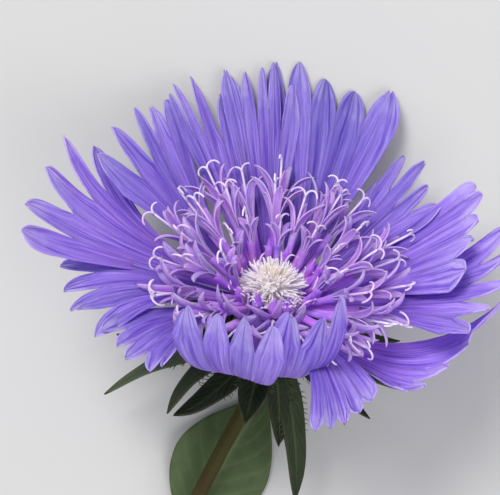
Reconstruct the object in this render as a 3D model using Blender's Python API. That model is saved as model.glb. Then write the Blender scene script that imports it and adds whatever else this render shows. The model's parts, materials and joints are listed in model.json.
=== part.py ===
"""A picked stokes aster lying on a surface, in metres, +Z up.

The flower is shaped in the head's own frame: z runs along the flower's axis out of its face, y
towards the side that faces the surface, x to the right, and the origin is at the rim of the
involucre. It is then tipped over onto the surface at z = 0, and whatever would pass under the
surface is bent along it. Angles round the axis count clockwise from y, seen from the face.
"""

import math
import random
from collections import namedtuple

import bmesh
import bpy
import numpy as np

MM = 0.001
SEED = 11
BLADE = 0.62 * MM  # thickness of petals, bracts and leaves
GAP = 0.3 * MM  # between the pieces that meet face to face

# How the flower lies
AXIS_RISE = math.radians(38.5)
HEAD_ROLL = math.radians(8.0)
HEAD_CENTRE = np.array([0.68, 9.3, 20.0]) * MM
PRESS_SOFTNESS = 1.2 * MM
STACK = 0.9 * MM  # a petal pressed onto another one lies this much higher

# The solid middle of the head, from the stem up
STEM_RADIUS = 1.35 * MM
CUP_DEPTH = 12.0 * MM
CUP_RADIUS = 7.0 * MM
HUB_RADIUS = 6.3 * MM
RAY_HUB = (GAP, 2.6 * MM)
INNER_HUB = (2.6 * MM + GAP, 5.4 * MM)
DISC_BASE = 5.4 * MM + GAP
DISC_RADIUS = 3.9 * MM
DISC_RISE = 1.6 * MM

# A ray floret: a narrow tube that opens into a fan of lobes. Angles are in degrees, reach in mm,
# and each lobe is (share of the reach, extra turn of its tip). throat is (radius, height) in mm.
# bow spreads the fan further halfway out, so that its edges bulge. notch is the share of the way
# from the root to the tips where the lobes part.
Ray = namedtuple("Ray", "azimuth rise reach spread lean bow arch layer notch throat lobes")
THROAT = (14, 5.5)
RAYS = (
    Ray(-125.3, 5.8, 19.7, 20.4, -20.3, 8.4, 1.4, 0, 0.86, (16.1, 4.8),
        ((0.87, 1), (1, -5), (1.04, -3.5), (0.98, -3.5), (0.97, 1))),
    Ray(-102.9, 0.6, 21.8, 22.6, -12.9, 8.4, 3.4, 0, 0.8, (17.2, 5.9),
        ((0.95, -2.5), (0.93, 2), (0.97, -4), (0.97, -3), (1.02, 0))),
    Ray(-81, 29, 33, 28.5, -1, 2, -7, 0, 0.8, (17, 5.7),
        ((1.07, 0), (0.99, -6), (0.92, -0.5), (0.96, 3), (0.84, -1))),
    Ray(-52.7, 29.2, 29.1, 22.3, 3.5, 4.6, -1, 0, 0.8, (16.7, 5.7),
        ((0.88, -3.5), (0.96, 5), (1.02, 7), (0.94, 1), (1.03, -1.5))),
    Ray(-27.5, 27, 33, 12.5, 0.5, 6, 1, 0, 0.8, THROAT,
        ((0.95, 1.5), (1.01, -1), (1.03, -0.5), (0.91, 1.5), (1.01, -1))),
    Ray(-10, 28, 34, 11.5, -1, 6, 1, 1, 0.8, THROAT, ((1.01, 0), (1, 1), (1, 0.5), (1.05, -2), (0.96, 0))),
    Ray(19.5, 27, 35.5, 18, -16, 13.5, 1.7, 0, 0.8, THROAT,
        ((1.08, 1), (1.07, -1), (0.99, -1.5), (0.97, -1.5), (0.99, 1.5))),
    Ray(48.5, 25, 25, 21, -8.5, 6, 1, 0, 0.78, THROAT,
        ((0.77, 1.5), (1.07, -1.5), (1.02, 1), (0.91, -3), (0.87, 2))),
    Ray(71.6, 30.1, 28.3, 22.5, 0.5, 10.8, -1.9, 0, 0.92, (13.5, 4.8),
        ((1.07, 6), (1.06, -1.5), (0.93, -0.5), (0.86, -2), (0.83, 5.5))),
    Ray(92, 25, 25.5, 28, 5, 2, -3.7, 0, 0.84, (17.6, 6.1),
        ((1.05, -1), (1.02, 0), (1, 0), (0.94, 4), (0.91, 2))),
    Ray(120, 19, 22.5, 34, -5, -19, -6.8, 0, 0.84, (15.6, -0.4),
        ((1.38, -10), (1.02, -2), (0.97, 5), (1.03, 6), (0.88, -5))),
    Ray(146.3, -3, 22, 17.6, 8.6, 0.6, 3.2, 0, 0.94, (13.3, 4.4),
        ((0.8, -1), (0.91, 5), (0.98, 4.5), (1.02, 3), (1.06, 0))),
    Ray(165, 69, 28.5, 8.5, -2.5, 14, -11.4, 0, 0.86, (12.9, -6.1), ((1.08, 2.5), (0.88, -4), (0.95, 1))),
    Ray(-168.5, 67, 26, 16.5, 5, 18, -10.2, 0, 0.86, (14.9, -5.9),
        ((1.04, 0), (0.94, 0), (0.91, 1), (1.01, 1))),
)
RAY_ROOT = (5.0, 1.4)
TUBE_STEP = 0.44 * MM  # distance between the lobes' ribs where they run down the tube
PALM_ROWS = (0, 0.28, 0.52, 0.76, 1)  # shares of the way from the root to the notch
LOBE_ROWS = (0.35, 0.7, 1)  # shares of the way from the notch to the tip

# Inner florets, ring by ring from the outside: a tube, five straps round its mouth and a forked style
Ring = namedtuple("Ring", "count root rise tube strap spread style")
RINGS = (
    Ring(12, (5.0, 3.8), 30, 12.0, 11.0, 5.5, 9.0),
    Ring(8, (4.9, 4.3), 47, 9.5, 8.5, 4.2, 7.5),
    Ring(5, (4.9, 4.6), 64, 6.0, 5.0, 2.2, 5.0),
)
FRONT_SHORTER = 0.25  # share of the length that is missing where the front petals stand close
LOW_SIDES = ((-127, 28, 13), (133, 24, 14))  # where florets lie lower: azimuth, width and drop in degrees
TUBE_RADII = (0.6 * MM, 1.0 * MM)
STRAP_HALF = 0.62 * MM
STRAP_THICK = 0.6 * MM
STYLE_RADIUS = 0.34 * MM
STYLE_ARCH = 1.5 * MM

# Closed florets in the middle
BUD_COUNT = 56
BUD_LENGTH = 3.1 * MM
BUD_RADIUS = 0.42 * MM
BUD_SPLAY = 50
GOLDEN = math.pi * (3 - math.sqrt(5))

# Leafy bracts: azimuth, droop below the head's plane and droop gained by the tip, in degrees, then
# length and half width in mm
Bract = namedtuple("Bract", "azimuth droop curl length half")
BRACTS = (
    Bract(-102, 6, 42, 28.8, 2.4),
    Bract(-118, 5, 73, 21, 2.3),
    Bract(-147, 27, -48, 23.5, 2.7),
    Bract(-174, 17, 3, 14.6, 3.1),
    Bract(156, 39, 45, 18, 2.3),
    Bract(141, 48, 39, 31, 2.8),
    Bract(118, 12, 8, 20, 2.2),
    Bract(94, 10, 8, 23, 2.2),
    Bract(66, 8, 8, 24, 2.3),
    Bract(40, 6, 4, 26, 2.2),
    Bract(12, 4, 4, 24, 2.1),
    Bract(-19, 6, 4, 26, 2.3),
    Bract(-50, 7, 4, 23, 2.2),
    Bract(-82, 12, 8, 25, 2.1),
)
BRACT_ROOT = (5.6, -7.5)
SCALE_RINGS = ((11, -9.2, 5.4), (12, -5.2, 6.8))  # short pressed bracts: count, height and radius in mm
SCALE_RISE = 62
SCALE_LENGTH = 6.0 * MM
SCALE_HALF = 1.6 * MM

# Stem and its leaf, by their way over the surface from the head's centre
STEM_END = np.array([-26.5, -64.0, 1.35]) * MM
STEM_BEND = np.array([-11.0, -27.0, 5.2]) * MM
STEM_SIDES = 10
STEM_STEPS = 16
LEAF_NODE = 0.74  # share of the way down the stem where the leaf sits
LEAF_TIP = np.array([0.5, -15.0, 0.0]) * MM
LEAF_HALF = 8.6 * MM
LEAF_ROWS = 9

COLOURS = {
    "petal": (0.36, 0.27, 0.80),
    "inner": (0.42, 0.24, 0.74),
    "disc": (0.93, 0.87, 0.80),
    "bract": (0.10, 0.16, 0.07),
    "stem": (0.16, 0.15, 0.05),
    "leaf": (0.13, 0.21, 0.09),
}


def unit(vector):
    return vector / np.linalg.norm(vector)


def head_matrix():
    """Turns the head's frame to how the flower lies: tipped over, then rolled about the vertical."""
    s, c = math.sin(AXIS_RISE), math.cos(AXIS_RISE)
    tip = np.array([[1, 0, 0], [0, s, c], [0, -c, s]])
    s, c = math.sin(-HEAD_ROLL), math.cos(-HEAD_ROLL)
    roll = np.array([[c, -s, 0], [s, c, 0], [0, 0, 1]])
    return roll @ tip


HEAD = head_matrix()


def to_world(points):
    return np.asarray(points, float) @ HEAD.T + HEAD_CENTRE


def press(points, level):
    """Bends what comes near or under the surface so that it lies at this level."""
    points = np.array(points, float)
    over = (points[..., 2] - level) / PRESS_SOFTNESS
    points[..., 2] = level + PRESS_SOFTNESS * np.logaddexp(0, over)
    return points


def cubic(controls, t):
    """Points of a cubic Bezier curve at the shares t."""
    a, b, c, d = (np.asarray(p, float) for p in controls)
    t = np.asarray(t, float)[:, None]
    return (1 - t) ** 3 * a + 3 * t * (1 - t) ** 2 * b + 3 * t * t * (1 - t) * c + t**3 * d


def directions(azimuth, rise):
    """Outward, along, sideways and over, for something that leaves the axis at these angles."""
    azimuth, rise = math.radians(azimuth), math.radians(rise)
    out = np.array([math.sin(azimuth), math.cos(azimuth), 0])
    up = np.array([0, 0, 1.0])
    side = np.array([math.cos(azimuth), -math.sin(azimuth), 0])
    along = out * math.cos(rise) + up * math.sin(rise)
    over = up * math.cos(rise) - out * math.sin(rise)
    return out, along, side, over


def at(out, place):
    """The point at (radius, height) in mm, in the direction out."""
    return (out * place[0] + np.array([0, 0, place[1]])) * MM


def rib_curves(ray):
    """The rib of each lobe, as the controls of a cubic from the root to the tip."""
    out, along, side, over = directions(ray.azimuth, ray.rise)
    root, throat = at(out, RAY_ROOT), at(out, ray.throat)
    ribs = []
    for k, (share, sway) in enumerate(ray.lobes):
        place = k - (len(ray.lobes) - 1) / 2
        share_out = 2 * place / (len(ray.lobes) - 1)
        fan = math.radians(ray.lean + ray.spread * share_out + sway)
        reach = ray.reach * MM * share
        low = place * TUBE_STEP * side
        wide = 0.8 * fan + math.radians(ray.bow * share_out)
        bend = throat + reach / 2 * (math.cos(wide) * along + math.sin(wide) * side)
        tip = throat + reach * (math.cos(fan) * along + math.sin(fan) * side)
        ribs.append((root + low, throat + low, bend + ray.arch * MM * over, tip))
    return ribs


def lobe_width(share):
    """Half width of a lobe, as a share of that at the notch, from the notch (0) to the tip (1)."""
    return (1 - share**2.6) ** 0.7 * (1 + 0.9 * share * (1 - share))


def fan_surface(ray):
    """Points and faces of a ray floret's middle surface. Neighbour lobes share their edge below the notch."""
    shares = [ray.notch * p for p in PALM_ROWS] + [ray.notch + (1 - ray.notch) * p for p in LOBE_ROWS]
    lines = [cubic(rib, shares) for rib in rib_curves(ray)]
    last, palm = len(lines) - 1, len(PALM_ROWS)
    points, faces = [], []
    before = None
    for k, line in enumerate(lines):
        to_left = (lines[k - 1] - line if k else line - lines[1]) / 2
        to_right = (lines[k + 1] - line if k < last else line - lines[k - 1]) / 2
        rows = []
        for r in range(len(shares) - 1):
            width = 1 if r < palm else lobe_width(LOBE_ROWS[r - palm])
            base = min(r, palm - 1)
            left = before[r][1] if before and r < palm else len(points)
            if left == len(points):
                points.append(line[r] + to_left[base] * width)
            points.append(line[r] + to_right[base] * width)
            rows.append((left, len(points) - 1))
        for low, high in zip(rows, rows[1:]):
            faces.append((low[0], low[1], high[1], high[0]))
        points.append(line[-1])
        faces.append((rows[-1][0], rows[-1][1], len(points) - 1))
        before = rows
    return np.array(points), faces


def blade_surface(line, side, halves, over, keel):
    """A pointed blade along a line: an edge, a keel and an edge at each row, and one point at the tip."""
    points, faces = [], []
    for point, half in zip(line[:-1], halves):
        points += [point - side * half, point + over * keel, point + side * half]
    points.append(line[-1])
    rows = len(line) - 1
    for r in range(rows - 1):
        for c in range(2):
            a = 3 * r + c
            faces.append((a, a + 1, a + 4, a + 3))
    tip, a = len(points) - 1, 3 * (rows - 1)
    faces += [(a, a + 1, tip), (a + 1, a + 2, tip)]
    return np.array(points), faces


def tube(line, radii, sides, pointed=False):
    """A closed tube along a line, as points and faces. A pointed one ends in a single point."""
    line = np.asarray(line, float)
    tangents = np.gradient(line, axis=0)
    normal = unit(np.cross(tangents[0], (0.31, 0.17, 0.93)))
    points, faces = [], []
    rings = len(line) - 1 if pointed else len(line)
    for k in range(rings):
        along = unit(tangents[k])
        normal = unit(normal - along * (normal @ along))
        other = np.cross(along, normal)
        for s in range(sides):
            turn = 2 * math.pi * s / sides
            points.append(line[k] + radii[k] * (math.cos(turn) * normal + math.sin(turn) * other))
    for k in range(rings - 1):
        for s in range(sides):
            n = (s + 1) % sides
            faces.append((k * sides + s, k * sides + n, (k + 1) * sides + n, (k + 1) * sides + s))
    faces.append(tuple(range(sides))[::-1])
    top = (rings - 1) * sides
    if pointed:
        points.append(line[-1])
        faces += [(top + s, top + (s + 1) % sides, len(points) - 1) for s in range(sides)]
    else:
        faces.append(tuple(range(top, top + sides)))
    return np.array(points), faces


def turned(profile, sides):
    """A closed solid turned about the axis, from (radius, height) pairs that start and end on the axis."""
    points, faces = [], []
    for radius, height in profile[1:-1]:
        for s in range(sides):
            turn = 2 * math.pi * s / sides
            points.append((radius * math.sin(turn), radius * math.cos(turn), height))
    rings = len(profile) - 2
    for k in range(rings - 1):
        for s in range(sides):
            n = (s + 1) % sides
            faces.append((k * sides + s, (k + 1) * sides + s, (k + 1) * sides + n, k * sides + n))
    low, high = len(points), len(points) + 1
    points += [(0, 0, profile[0][1]), (0, 0, profile[-1][1])]
    top = (rings - 1) * sides
    for s in range(sides):
        n = (s + 1) % sides
        faces.append((s, n, low))
        faces.append((top + n, top + s, high))
    return np.array(points), faces


def material(name):
    found = bpy.data.materials.get(name)
    if found:
        return found
    made = bpy.data.materials.new(name)
    made.use_nodes = True
    shader = made.node_tree.nodes["Principled BSDF"]
    shader.inputs["Base Color"].default_value = (*COLOURS[name], 1)
    shader.inputs["Roughness"].default_value = 0.6
    shader.inputs["Metallic"].default_value = 0
    return made


def mesh_object(name, points, faces, colour, thickness=0):
    """An object from points and faces. A surface gets its thickness from a Solidify modifier."""
    mesh = bpy.data.meshes.new(name)
    mesh.from_pydata([tuple(p) for p in points], [], faces)
    shell = bmesh.new()
    shell.from_mesh(mesh)
    bmesh.ops.recalc_face_normals(shell, faces=shell.faces)
    shell.to_mesh(mesh)
    shell.free()
    mesh.materials.append(material(colour))
    made = bpy.data.objects.new(name, mesh)
    bpy.context.scene.collection.objects.link(made)
    if thickness:
        solid = made.modifiers.new("thickness", "SOLIDIFY")
        solid.thickness = thickness
        solid.offset = 0
    return made


def join(core, pieces):
    """Fuses the pieces with their core in one solid, and removes them."""
    repeats = bpy.data.collections.new(core.name + "_repeats")
    bpy.context.scene.collection.children.link(repeats)
    for piece in pieces:
        bpy.context.scene.collection.objects.unlink(piece)
        repeats.objects.link(piece)
    union = core.modifiers.new("union", "BOOLEAN")
    union.operation = "UNION"
    union.operand_type = "COLLECTION"
    union.collection = repeats
    union.solver = "MANIFOLD"
    bpy.context.view_layer.update()
    fused = bpy.data.meshes.new_from_object(core.evaluated_get(bpy.context.evaluated_depsgraph_get()))
    core.modifiers.clear()
    core.data = fused
    for piece in pieces:
        bpy.data.objects.remove(piece)
    bpy.data.collections.remove(repeats)
    return core


def hub(name, low, high, radius, colour, sides=20):
    profile = ((0, low), (radius, low), (radius, high), (0, high))
    points, faces = turned(profile, sides)
    return mesh_object(name, to_world(points), faces, colour)


def ray_florets():
    core = hub("ray_florets", *RAY_HUB, HUB_RADIUS, "petal")
    pieces = []
    for ray in RAYS:
        points, faces = fan_surface(ray)
        points = press(to_world(points), BLADE / 2 + STACK * ray.layer)
        pieces.append(mesh_object("ray", points, faces, "petal", BLADE))
    return join(core, pieces)


def drop_at(azimuth):
    """How far the outer florets lean down at this azimuth."""
    turn = (azimuth + 180) % 360 - 180
    return sum(drop * math.exp(-(((turn - middle) / width) ** 2)) for middle, width, drop in LOW_SIDES)


def floret_places():
    """Azimuth, rise and share of full length of each inner floret, ring by ring."""
    draw = random.Random(SEED)
    for number, ring in enumerate(RINGS):
        for k in range(ring.count):
            azimuth = 360 * (k + number / 2) / ring.count + draw.uniform(-5, 5)
            front = max(0, -math.cos(math.radians(azimuth))) ** 5
            rise = ring.rise + draw.uniform(-4, 4) - drop_at(azimuth) * (1 - number / 2)
            length = draw.uniform(0.92, 1.06) * (1 - FRONT_SHORTER * front)
            yield ring, azimuth, rise, length, draw.uniform(0, 72)


def strap(mouth, along, away, length, spread, sunk):
    """A lobe of an inner floret: it leaves the mouth along the tube and arches outwards."""
    controls = (
        mouth - along * sunk,
        mouth + along * length * 0.35 + away * spread * 0.1,
        mouth + along * length * 0.75 + away * spread * 0.45,
        mouth + along * length * 0.8 + away * spread,
    )
    line = cubic(controls, (0, 0.6, 1))
    side = unit(np.cross(along, away))
    back = unit(np.cross(side, along))
    points, faces = [], []
    for point, half in zip(line[:-1], (0.75, 1)):
        half *= STRAP_HALF
        points += [point - side * half, point + side * half, point + back * STRAP_THICK]
    points.append(line[-1])
    for c in range(3):
        a, b = c, (c + 1) % 3
        faces += [(a, b, b + 3, a + 3), (a + 3, b + 3, 6)]
    faces.append((2, 1, 0))
    return np.array(points), faces


def style(mouth, along, side, length):
    """A thread out of the mouth and the arch of its two curled arms."""
    top = mouth + along * length
    thread = tube([mouth - along * 1.2 * MM, top], (STYLE_RADIUS, STYLE_RADIUS), 3)
    turns = np.radians((-125, -45, 45, 125))
    arch = [top + STYLE_ARCH * (side * math.sin(a) + along * (math.cos(a) - 1)) for a in turns]
    arms = tube(arch, (STYLE_RADIUS,) * len(arch), 3)
    return thread, arms


def inner_florets():
    core = hub("inner_florets", *INNER_HUB, HUB_RADIUS - 0.6 * MM, "inner")
    pieces = []
    for ring, azimuth, rise, length, first in floret_places():
        out, along, side, over = directions(azimuth, rise)
        root = at(out, ring.root)
        mouth = root + along * ring.tube * length * MM
        middle = (root + mouth) / 2 - over * 0.5 * MM
        parts = [tube([root, middle, mouth], (TUBE_RADII[0], TUBE_RADII[0], TUBE_RADII[1]), 4)]
        for k in range(5):
            turn = math.radians(first + 72 * k)
            lift = math.sin(turn)
            away = side * math.cos(turn) + over * (lift if lift > 0 else 0.35 * lift)
            sunk = (0.7 + 0.07 * k) * MM
            parts.append(strap(mouth, along, away, ring.strap * length * MM, ring.spread * MM, sunk))
        parts += style(mouth, along, side, ring.style * length * MM)
        pieces += [mesh_object("part", to_world(p), f, "inner") for p, f in parts]
    return join(core, pieces)


def disc():
    """The closed florets in the middle: pointed buds all over a low dome."""
    steps = np.linspace(0, math.pi / 2, 5)
    dome = [(DISC_RADIUS * math.cos(a), DISC_BASE + 0.4 * MM + DISC_RISE * math.sin(a)) for a in steps[:-1]]
    top = (0, DISC_BASE + 0.4 * MM + DISC_RISE)
    points, faces = turned(((0, DISC_BASE), (DISC_RADIUS, DISC_BASE), *dome, top), 16)
    core = mesh_object("disc_buds", to_world(points), faces, "disc")
    pieces = []
    for k in range(BUD_COUNT):
        share = 0.95 * math.sqrt((k + 0.5) / BUD_COUNT)
        out = np.array([math.sin(k * GOLDEN), math.cos(k * GOLDEN), 0])
        tilt = share * math.radians(BUD_SPLAY)
        way = out * math.sin(tilt) + np.array([0, 0, math.cos(tilt)])
        foot = out * DISC_RADIUS * share
        foot[2] = DISC_BASE + 0.4 * MM + DISC_RISE * math.sqrt(1 - share**2)
        line = [foot - way * 0.9 * MM, foot + way * BUD_LENGTH]
        points, faces = tube(line, (BUD_RADIUS,), 3, pointed=True)
        pieces.append(mesh_object("bud", to_world(points), faces, "disc"))
    return join(core, pieces)


def bract_blade(bract):
    """A leafy bract: it leaves the cup outwards, droops, and narrows to a point."""
    shares = np.linspace(0, 1, 6)
    out, _, side, _ = directions(bract.azimuth, 0)
    line = [at(out, BRACT_ROOT) - out * 1.5 * MM]
    for share in shares[1:]:
        droop = -(bract.droop + bract.curl * share)
        _, along, _, over = directions(bract.azimuth, droop)
        line.append(line[-1] + along * bract.length * MM / (len(shares) - 1))
    halves = [bract.half * MM * (0.55 + 1.6 * s * (1 - s)) * (1 - s**4) ** 0.85 for s in shares[:-1]]
    return blade_surface(np.array(line), side, halves, over, -0.4 * MM)


def scale_blade(azimuth, rise, height, radius):
    """A short bract pressed to the cup, its tip a little off it."""
    out, along, side, over = directions(azimuth, rise)
    root = at(out, (radius - 1.2, height - 1.5))
    line = [root, root + along * SCALE_LENGTH * 0.55, root + (along - 0.25 * over) * SCALE_LENGTH]
    return blade_surface(np.array(line), side, (SCALE_HALF, SCALE_HALF), over, -0.3 * MM)


def involucre():
    profile = (
        (0, -CUP_DEPTH),
        (STEM_RADIUS * 1.25, -CUP_DEPTH),
        (CUP_RADIUS * 0.62, -CUP_DEPTH * 0.9),
        (CUP_RADIUS * 0.92, -CUP_DEPTH * 0.68),
        (CUP_RADIUS, -CUP_DEPTH * 0.4),
        (CUP_RADIUS * 0.84, 0),
        (0, 0),
    )
    points, faces = turned(profile, 18)
    core = mesh_object("involucre", to_world(points), faces, "bract")
    surfaces = [bract_blade(bract) for bract in BRACTS]
    draw = random.Random(SEED)
    for count, height, radius in SCALE_RINGS:
        for k in range(count):
            azimuth = 360 * (k + 0.5) / count + draw.uniform(-4, 4)
            rise = SCALE_RISE + draw.uniform(-6, 6)
            surfaces.append(scale_blade(azimuth, rise, height + draw.uniform(-0.5, 0.5), radius))
    pieces = [
        mesh_object("bract", press(to_world(points), BLADE / 2), faces, "bract", BLADE)
        for points, faces in surfaces
    ]
    return join(core, pieces)


def stem_line():
    """The stem's middle line, from under the cup down to the cut end on the surface."""
    top = to_world([0, 0, -CUP_DEPTH - GAP])
    leaving = to_world([0, 0, -CUP_DEPTH - 9 * MM])
    return top, leaving, HEAD_CENTRE * (1, 1, 0) + STEM_BEND, HEAD_CENTRE * (1, 1, 0) + STEM_END


def stem():
    line = cubic(stem_line(), np.linspace(0, 1, STEM_STEPS))
    swell = [STEM_RADIUS * (1 + 0.12 * math.exp(-k)) for k in range(STEM_STEPS)]
    points, faces = tube(line, swell, STEM_SIDES)
    made = mesh_object("stem", points, faces, "stem")
    made.data.shade_smooth()
    made.data.set_sharp_from_angle(angle=math.radians(40))
    return made


def stem_leaf():
    """The leaf that clasps the stem from below and lies on the surface, its tip towards the head."""
    base = cubic(stem_line(), [LEAF_NODE])[0] - (0, 0, STEM_RADIUS + GAP + BLADE / 2)
    tip = HEAD_CENTRE * (1, 1, 0) + LEAF_TIP + (0, 0, BLADE / 2)
    shares = np.linspace(0, 1, LEAF_ROWS)
    line = base + (tip - base) * shares[:, None]
    line[:, 2] = tip[2] + (base[2] - tip[2]) * (1 - shares) ** 3
    side = unit(np.cross(tip - base, (0, 0, 1)))
    halves = [LEAF_HALF * (0.22 + 0.9 * math.sin(math.pi * s**0.8)) * (1 - s**4) for s in shares[:-1]]
    points, faces = blade_surface(line, side, halves, np.array([0, 0, 1.0]), 0)
    return mesh_object("stem_leaf", points, faces, "leaf", BLADE)


def main():
    for old in list(bpy.data.objects):
        bpy.data.objects.remove(old)
    flower = bpy.data.objects.new("stokes_aster", None)
    bpy.context.scene.collection.objects.link(flower)
    for piece in (stem(), stem_leaf(), involucre(), ray_florets(), inner_florets(), disc()):
        piece.parent = flower


main()
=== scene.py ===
"""The looks of the picked stokes aster: fine petals, curled inner florets, bristly bracts, stem and leaf.

The head is shaped in its own frame (z along the flower's axis out of its face, y towards the side that
meets the surface) and then tipped over onto the surface at z = 0, as the solids are. The stem and its leaf
are shaped where they lie. A place given as a pair is its distance from the axis and its height, in mm.
Azimuths are degrees round the axis from y towards x, and rises are degrees out of the plane of the head.
"""

import json
import math
import random
from collections import namedtuple

import bpy
import numpy as np
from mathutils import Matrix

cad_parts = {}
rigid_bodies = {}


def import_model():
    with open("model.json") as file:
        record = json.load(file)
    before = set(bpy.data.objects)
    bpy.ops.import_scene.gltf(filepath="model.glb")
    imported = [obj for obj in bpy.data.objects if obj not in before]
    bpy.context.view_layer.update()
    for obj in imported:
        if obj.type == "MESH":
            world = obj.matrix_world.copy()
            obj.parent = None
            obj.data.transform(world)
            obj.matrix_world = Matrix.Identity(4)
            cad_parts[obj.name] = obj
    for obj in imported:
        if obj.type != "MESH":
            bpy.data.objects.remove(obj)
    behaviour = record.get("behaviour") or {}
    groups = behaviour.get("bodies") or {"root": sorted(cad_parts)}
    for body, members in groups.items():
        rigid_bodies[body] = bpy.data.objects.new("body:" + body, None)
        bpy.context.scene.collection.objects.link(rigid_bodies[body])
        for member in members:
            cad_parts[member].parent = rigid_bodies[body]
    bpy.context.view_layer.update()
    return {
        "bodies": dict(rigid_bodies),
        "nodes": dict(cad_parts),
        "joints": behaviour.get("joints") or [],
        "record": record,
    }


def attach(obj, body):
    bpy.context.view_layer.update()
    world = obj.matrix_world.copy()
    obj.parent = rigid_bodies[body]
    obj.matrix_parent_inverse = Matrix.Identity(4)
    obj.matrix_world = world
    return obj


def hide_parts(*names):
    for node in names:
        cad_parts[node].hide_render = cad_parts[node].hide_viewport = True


MM = 0.001
GOLDEN = math.pi * (3 - math.sqrt(5))
ON_AXIS = 0.01 * MM  # radius that stands for a point on the axis

# How the flower lies, and the middle of it, as in the part
AXIS_RISE = math.radians(38.5)
HEAD_ROLL = math.radians(8.0)
HEAD_CENTRE = np.array([0.68, 9.3, 20.0]) * MM
PRESS_SOFTNESS = 1.2 * MM
STACK = 0.9 * MM  # a petal pressed onto another one lies this much higher
GAP = 0.3 * MM  # between the pieces that meet face to face
STEM_RADIUS = 1.35 * MM
CUP_DEPTH = 12.0 * MM
CUP_RADIUS = 7.0 * MM
# The cup's outline: shares of its radius and of its depth
CUP_SHAPE = ((0.62, 0.9), (0.92, 0.68), (1, 0.4), (0.84, 0))
HUB_RADIUS = 6.3 * MM
HUB_BORE = 1.0 * MM
# The cores that the florets stand on: bottom, top and radius
HUBS = ((GAP, 2.6 * MM, HUB_RADIUS), (2.9 * MM, 5.4 * MM, HUB_RADIUS - 0.6 * MM))

# Ray florets: azimuth and rise, the lobes' reach in mm, half the angle that they spread over and how far
# it leans, how far the lobes bow apart in degrees and arch in mm, the layer on the surface, the share of
# the way where the lobes part, the throat's place, and each lobe's share of the reach and turn in degrees
Ray = namedtuple("Ray", "azimuth rise reach spread lean bow arch layer notch throat lobes")
THROAT = (14, 5.5)
RAYS = (
    Ray(-125.3, 5.8, 19.7, 20.4, -20.3, 8.4, 1.4, 0, 0.86, (16.1, 4.8),
        ((0.87, 1), (1, -5), (1.04, -3.5), (0.98, -3.5), (0.97, 1))),
    Ray(-102.9, 0.6, 21.8, 22.6, -12.9, 8.4, 3.4, 0, 0.8, (17.2, 5.9),
        ((0.95, -2.5), (0.93, 2), (0.97, -4), (0.97, -3), (1, 1.5))),
    Ray(-81, 29, 33, 28.5, -1, 2, -7, 0, 0.8, (17, 5.7),
        ((1.05, -3), (0.99, -6.5), (0.92, -0.5), (0.96, 3), (0.84, -1))),
    Ray(-52.7, 29.2, 29.1, 22.3, 3.5, 4.6, -1, 0, 0.8, (16.7, 5.7),
        ((0.88, -3.5), (0.96, 5), (1.02, 7), (0.94, 1), (1.03, -1.5))),
    Ray(-27.5, 27, 33, 12.5, 0.5, 6, 1, 0, 0.8, THROAT,
        ((0.95, 1.5), (1.01, -1), (1.03, -0.5), (0.91, 1.5), (1.01, -1))),
    Ray(-10, 28, 34, 11.5, -1, 6, 1, 1, 0.8, THROAT, ((1.01, 0), (1, 1), (1, 0.5), (1.05, -2), (0.96, 0))),
    Ray(19.5, 27, 35.5, 18, -16, 13.5, 1.7, 0, 0.8, THROAT,
        ((1.08, 1), (1.07, -1), (0.99, -1.5), (0.97, -1.5), (0.99, 1.5))),
    Ray(48.5, 25, 25, 21, -8.5, 6, 1, 0, 0.78, THROAT,
        ((0.77, 1.5), (1.07, -1.5), (1.02, 1), (0.91, -3), (0.87, 2))),
    Ray(71.6, 30.1, 28.3, 22.5, 0.5, 10.8, -1.9, 0, 0.92, (13.5, 4.8),
        ((1.07, 6), (1.06, -1.5), (0.93, -0.5), (0.86, -2), (0.83, 5.5))),
    Ray(92, 25, 25.5, 28, 5, 2, -3.7, 0, 0.84, (17.6, 6.1),
        ((1.05, -1), (1.02, 0), (1, 0), (0.94, 4), (0.91, 2))),
    Ray(120, 19, 22.5, 34, -5, -19, -6.8, 0, 0.84, (15.6, -0.4),
        ((1.38, -10), (1.02, -2), (0.97, 5), (1.03, 6), (0.88, -5))),
    Ray(146.3, -3, 22, 17.6, 8.6, 0.6, 3.2, 0, 0.94, (13.3, 4.4),
        ((0.8, -1), (0.91, 5), (0.98, 4.5), (1.02, 3), (1.06, 0))),
    Ray(165, 69, 28.5, 8.5, -2.5, 14, -11.4, 0, 0.86, (12.9, -6.1), ((1.08, 2.5), (0.88, -4), (0.95, 1))),
    Ray(-168.5, 67, 26, 16.5, 5, 18, -10.2, 0, 0.86, (14.9, -5.9),
        ((1.04, 0), (0.94, 0), (0.91, 1), (1.01, 1))),
)
# How much lighter each ray floret is painted than most, or darker where it is below 0: painted light and
# painted shade for how lit each one is
RAY_PAINTED_LIGHT = (-0.6, -0.6, 0.4, -0.5, -0.6, -0.6, -1.3, -0.3, 0.7, 0.8, 3, -0.2, -0.2, -0.2)
RAY_ROOT = (5.0, 1.4)
PETAL_THICK = 0.26 * MM
TUBE_STEP = 0.44 * MM  # distance between the lobes' ribs where they run down the tube
TUBE_SHARE = 0.36  # share of the way that the tube's gutter reaches
GUTTER_DEPTH = 0.9 * MM
WAVE_HEIGHT = 0.55 * MM
VEIN_HEIGHT = 0.06 * MM
EDGE_WIDER = 1.2  # how much wider the outer sides of the outer lobes are
BLUNT_NOTCH = 0.85  # lobes that part later than this are blunt, even and never split
STANDING = 50  # ray florets that rise more than this stand up in front of the head
NOTCH_STEPS = (-1, -1, 0, 0, 1)  # rows by which a notch starts earlier or later
SPLIT_CHANCE = 0.25
SPLIT_DEPTH = 0.8 * MM
SPLIT_WIDTH = 0.3  # share of the full width that a split tip keeps
PALM_ROWS = 15  # from the root to the notch
LOBE_ROWS = 12  # from the notch to the tip
ACROSS = np.linspace(-1, 1, 13)  # places across a lobe

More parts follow.
